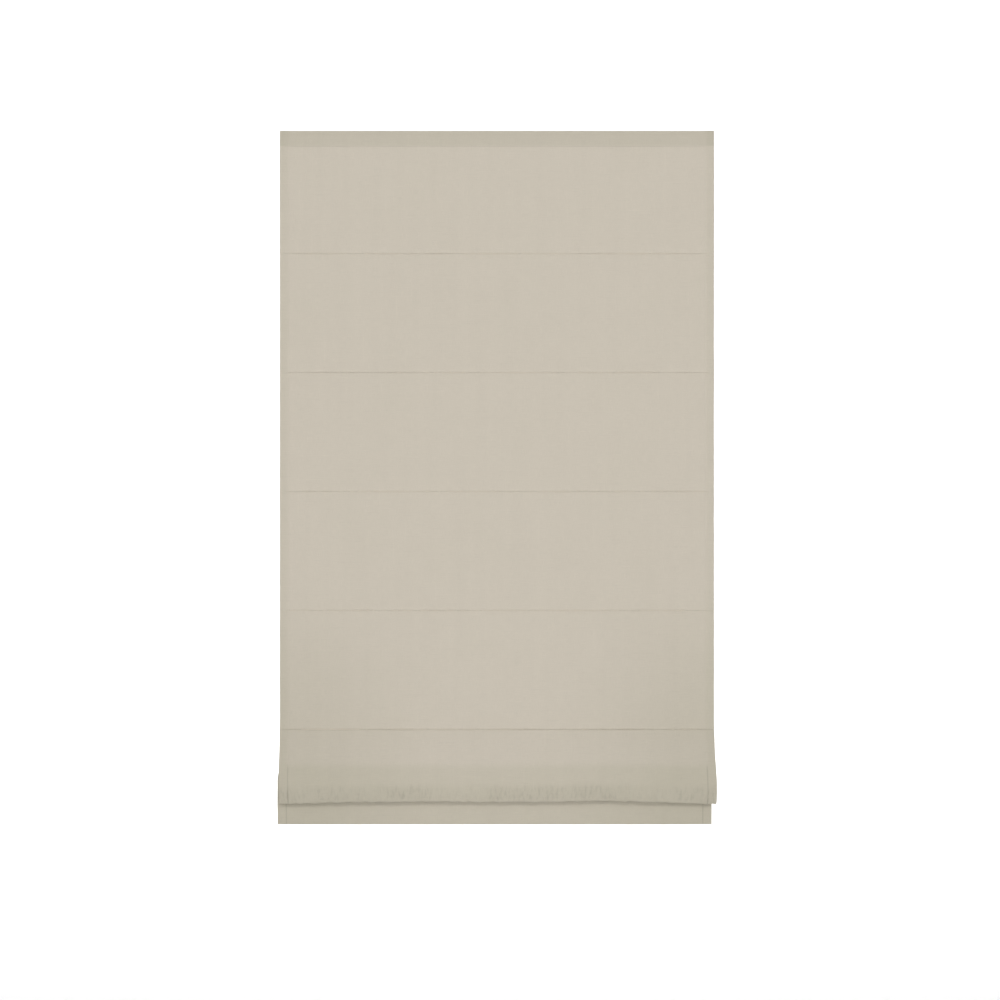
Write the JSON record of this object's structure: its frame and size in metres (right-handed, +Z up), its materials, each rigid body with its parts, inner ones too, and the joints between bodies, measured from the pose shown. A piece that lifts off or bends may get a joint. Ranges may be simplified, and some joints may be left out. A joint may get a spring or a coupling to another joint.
{
  "type": "roman blind",
  "caption": "Cordless linen roman blind with a spring-lift headrail, batten rods in pockets, a part-folded last pleat and a weighted bottom hem.",
  "frame": {"origin": "centre of the four ceiling screw holes, on the top face of the two brackets", "axes": "+X to the viewer's right along the headrail, +Y back towards the wall, +Z up; the face cloth looks towards -Y"},
  "size_m": [1, 0.0768, 1.5991],
  "materials": {
    "linen": "woven",
    "rail_white": "satin",
    "moulding_white": "matte",
    "moulding_grey": "matte",
    "moulding_black": "matte",
    "bracket_steel": "satin",
    "cam_zinc": "satin",
    "tape_hook": "woven",
    "tape_loop": "woven",
    "cord_white": "braided",
    "axle_steel": "satin",
    "spring_steel": "polished",
    "rod_glass_fibre": "satin",
    "ring_clear": "gloss",
    "bar_aluminium": "satin"
  },
  "bodies": {
    "head": {"headrail": "rail_white", "end_cap_left": "moulding_white", "end_cap_right": "moulding_white", "bracket_left": "bracket_steel", "bracket_right": "bracket_steel", "bracket_rivets": "bracket_steel", "hook_tape": "tape_hook", "loop_tape": "tape_loop", "face_fabric": "linen", "cradle_left": "moulding_grey", "cradle_centre": "moulding_grey", "cradle_right": "moulding_grey", "lift_cord_left": "cord_white", "lift_cord_centre": "cord_white", "lift_cord_right": "cord_white", "motor_case": "moulding_grey", "motor_cover": "moulding_white", "motor_axle": "axle_steel", "motor_spring": "spring_steel", "brake_housing": "moulding_grey", "brake_spring": "spring_steel"},
    "cam_left": {"bracket_cam_left": "cam_zinc"},
    "cam_right": {"bracket_cam_right": "cam_zinc"},
    "shaft": {"lift_shaft": "axle_steel", "spool_left": "moulding_white", "spool_centre": "moulding_white", "spool_right": "moulding_white", "cord_wrap_left": "cord_white", "cord_wrap_centre": "cord_white", "cord_wrap_right": "cord_white", "motor_output_drum": "moulding_black", "brake_wheel": "moulding_black", "shaft_clips": "moulding_white"},
    "store_drum": {"motor_store_drum": "moulding_black"},
    "pleat_1": {"rod_pocket_1": "tape_loop", "rod_1": "rod_glass_fibre", "rings_1": "ring_clear"},
    "pleat_2": {"rod_pocket_2": "tape_loop", "rod_2": "rod_glass_fibre", "rings_2": "ring_clear"},
    "pleat_3": {"rod_pocket_3": "tape_loop", "rod_3": "rod_glass_fibre", "rings_3": "ring_clear"},
    "pleat_4": {"rod_pocket_4": "tape_loop", "rod_4": "rod_glass_fibre", "rings_4": "ring_clear"},
    "pleat_5": {"rod_pocket_5": "tape_loop", "rod_5": "rod_glass_fibre", "rings_5": "ring_clear"},
    "hem": {"rod_pocket_6": "tape_loop", "rod_6": "rod_glass_fibre", "rings_6": "ring_clear", "cord_anchors": "ring_clear", "bottom_bar": "bar_aluminium", "bar_caps": "moulding_white"}
  },
  "joints": [
    {"name": "raise", "type": "slide", "parent": "head", "child": "pleat_1", "axis": [0, 0.0154, 0.9999], "range_m": [0, 0.22], "deforming": ["face_fabric", "lift_cord_left", "lift_cord_centre", "lift_cord_right"]},
    {"name": "pleat_2_rise", "type": "slide", "parent": "pleat_1", "child": "pleat_2", "axis": [0, 0.0154, 0.9999], "range_m": [0, 0.26]},
    {"name": "pleat_3_rise", "type": "slide", "parent": "pleat_2", "child": "pleat_3", "axis": [0, 0.0154, 0.9999], "range_m": [0, 0.26]},
    {"name": "pleat_4_rise", "type": "slide", "parent": "pleat_3", "child": "pleat_4", "axis": [0, 0.0154, 0.9999], "range_m": [0, 0.26]},
    {"name": "pleat_5_rise", "type": "slide", "parent": "pleat_4", "child": "pleat_5", "axis": [0, 0.0154, 0.9999], "range_m": [0, 0.26]},
    {"name": "bottom_rise", "type": "slide", "parent": "pleat_5", "child": "hem", "axis": [0, 0.0154, 0.9999], "range_m": [-0.1933, 0.0667]},
    {"name": "shaft_turn", "type": "hinge", "parent": "head", "child": "shaft", "pos_m": [0, -0.006, -0.026], "axis": [1, 0, 0], "range_deg": [0, 10312]},
    {"name": "store_drum_turn", "type": "hinge", "parent": "head", "child": "store_drum", "pos_m": [0, 0.013, -0.026], "axis": [1, 0, 0], "range_deg": [-12586, 0]},
    {"name": "cam_left_turn", "type": "hinge", "parent": "head", "child": "cam_left", "pos_m": [-0.385, 0, -0.007], "axis": [0, 0, 1], "range_deg": [-90, 0]},
    {"name": "cam_right_turn", "type": "hinge", "parent": "head", "child": "cam_right", "pos_m": [0.415, 0, -0.007], "axis": [0, 0, 1], "range_deg": [-90, 0]}
  ],
  "couplings": [
    {"joint": "pleat_2_rise", "follows": "raise", "ratio": 1.1815},
    {"joint": "pleat_3_rise", "follows": "raise", "ratio": 1.1815},
    {"joint": "pleat_4_rise", "follows": "raise", "ratio": 1.1815},
    {"joint": "pleat_5_rise", "follows": "raise", "ratio": 1.1815},
    {"joint": "shaft_turn", "follows": "raise", "rad_per_m": 818},
    {"joint": "store_drum_turn", "follows": "raise", "rad_per_m": -998.4}
  ]
}
